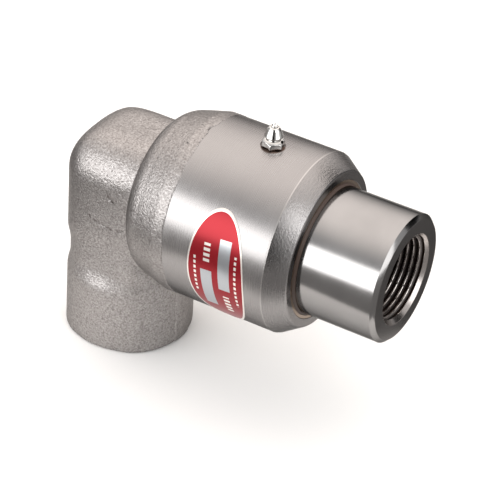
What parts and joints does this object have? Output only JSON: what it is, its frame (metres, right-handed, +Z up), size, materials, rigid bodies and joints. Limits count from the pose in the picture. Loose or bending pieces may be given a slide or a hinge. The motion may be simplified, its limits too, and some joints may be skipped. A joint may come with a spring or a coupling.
{
  "type": "ball swivel joint",
  "caption": "Elbow ball swivel joint: a cast elbow with a threaded port and a threaded sleeve that turns in its housing on ball rows, with packing and grease nipple.",
  "frame": {"origin": "centre of the elbow port's face", "axes": "+X along the swivel axis towards the sleeve's mouth, +Z up from the elbow port into the casting"},
  "size_m": [0.1369, 0.0688, 0.1065],
  "materials": {
    "cast_stainless": "sandblasted casting, turned outside and bored",
    "turned_stainless": "fine turned",
    "bearing_steel": "ground and polished",
    "plated_steel": "bright plated",
    "plug_steel": "turned",
    "spring_steel": "drawn",
    "bronze": "turned",
    "packing_rubber": "moulded",
    "seal_rubber": "moulded",
    "seal_case_steel": "pressed",
    "label_foil": "printed foil"
  },
  "bodies": {
    "housing": {"elbow_body": "cast_stainless", "rear_ball_plug": "plug_steel", "front_ball_plug": "plug_steel", "grease_nipple": "plated_steel", "nipple_spring": "spring_steel", "tail_bush": "bronze", "wave_spring": "spring_steel", "spring_seat": "plug_steel", "header_ring": "packing_rubber", "v_ring_1": "packing_rubber", "v_ring_2": "packing_rubber", "v_ring_3": "packing_rubber", "footer_ring": "packing_rubber", "retainer_washer": "plug_steel", "retainer_snap_ring": "spring_steel", "nose_seal_case": "seal_case_steel", "nose_seal_lip": "seal_rubber", "name_plate": "label_foil"},
    "sleeve": {"swivel_sleeve": "turned_stainless", "grease_o_ring": "seal_rubber"},
    "rear_ball_row": {"rear_balls": "bearing_steel"},
    "front_ball_row": {"front_balls": "bearing_steel"},
    "check_ball": {"nipple_check_ball": "bearing_steel"}
  },
  "joints": [
    {"name": "swivel", "type": "hinge", "parent": "housing", "child": "sleeve", "pos_m": [0, 0, 0.064], "axis": [1, 0, 0], "continuous": true},
    {"name": "rear_ball_orbit", "type": "hinge", "parent": "housing", "child": "rear_ball_row", "pos_m": [0, 0, 0.064], "axis": [1, 0, 0], "continuous": true},
    {"name": "front_ball_orbit", "type": "hinge", "parent": "housing", "child": "front_ball_row", "pos_m": [0, 0, 0.064], "axis": [1, 0, 0], "continuous": true},
    {"name": "nipple_check", "type": "slide", "parent": "housing", "child": "check_ball", "axis": [0, 0, -1], "range_m": [0, 0.0008], "stiffness_N_per_m": 150, "springref_m": -0.001, "deforming": ["nipple_spring"]}
  ],
  "couplings": [
    {"joint": "rear_ball_orbit", "follows": "swivel", "ratio": 0.434},
    {"joint": "front_ball_orbit", "follows": "swivel", "ratio": 0.434}
  ]
}
